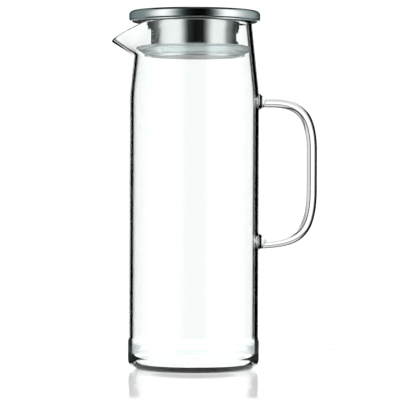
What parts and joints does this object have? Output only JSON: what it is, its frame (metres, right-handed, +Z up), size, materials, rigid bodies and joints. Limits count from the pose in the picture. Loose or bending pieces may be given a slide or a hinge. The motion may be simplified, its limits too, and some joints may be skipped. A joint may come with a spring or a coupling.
{
  "type": "glass pitcher with lid",
  "caption": "Tall clear glass pitcher with a pulled spout, a glass rod handle and a steel lid that turns to strain or pour.",
  "frame": {"origin": "centre of the jug's flat base, on the jug's axis", "axes": "+Z up the jug's axis; the spout points to -X and the handle to +X"},
  "size_m": [0.1666, 0.1062, 0.29],
  "materials": {
    "clear_glass": "clear polished",
    "polished_steel": "polished",
    "black_plastic": "fine matt",
    "clear_silicone": "translucent"
  },
  "bodies": {
    "jug": {"glass_jug": "clear_glass", "handle_rod": "clear_glass", "handle_upper_weld": "clear_glass", "handle_lower_weld": "clear_glass"},
    "seal": {"seal_ring": "clear_silicone"},
    "lid": {"cap_shell": "polished_steel", "cap_plate": "black_plastic", "collar_sleeve": "polished_steel", "strainer_tube": "polished_steel", "flange_screws": "polished_steel"}
  },
  "joints": [
    {"name": "lid_lift", "type": "slide", "parent": "jug", "child": "seal", "axis": [0, 0, 1], "range_m": [0, 0.06]},
    {"name": "lid_turn", "type": "hinge", "parent": "seal", "child": "lid", "pos_m": [0, 0, 0.258], "axis": [0, 0, 1], "continuous": true}
  ]
}
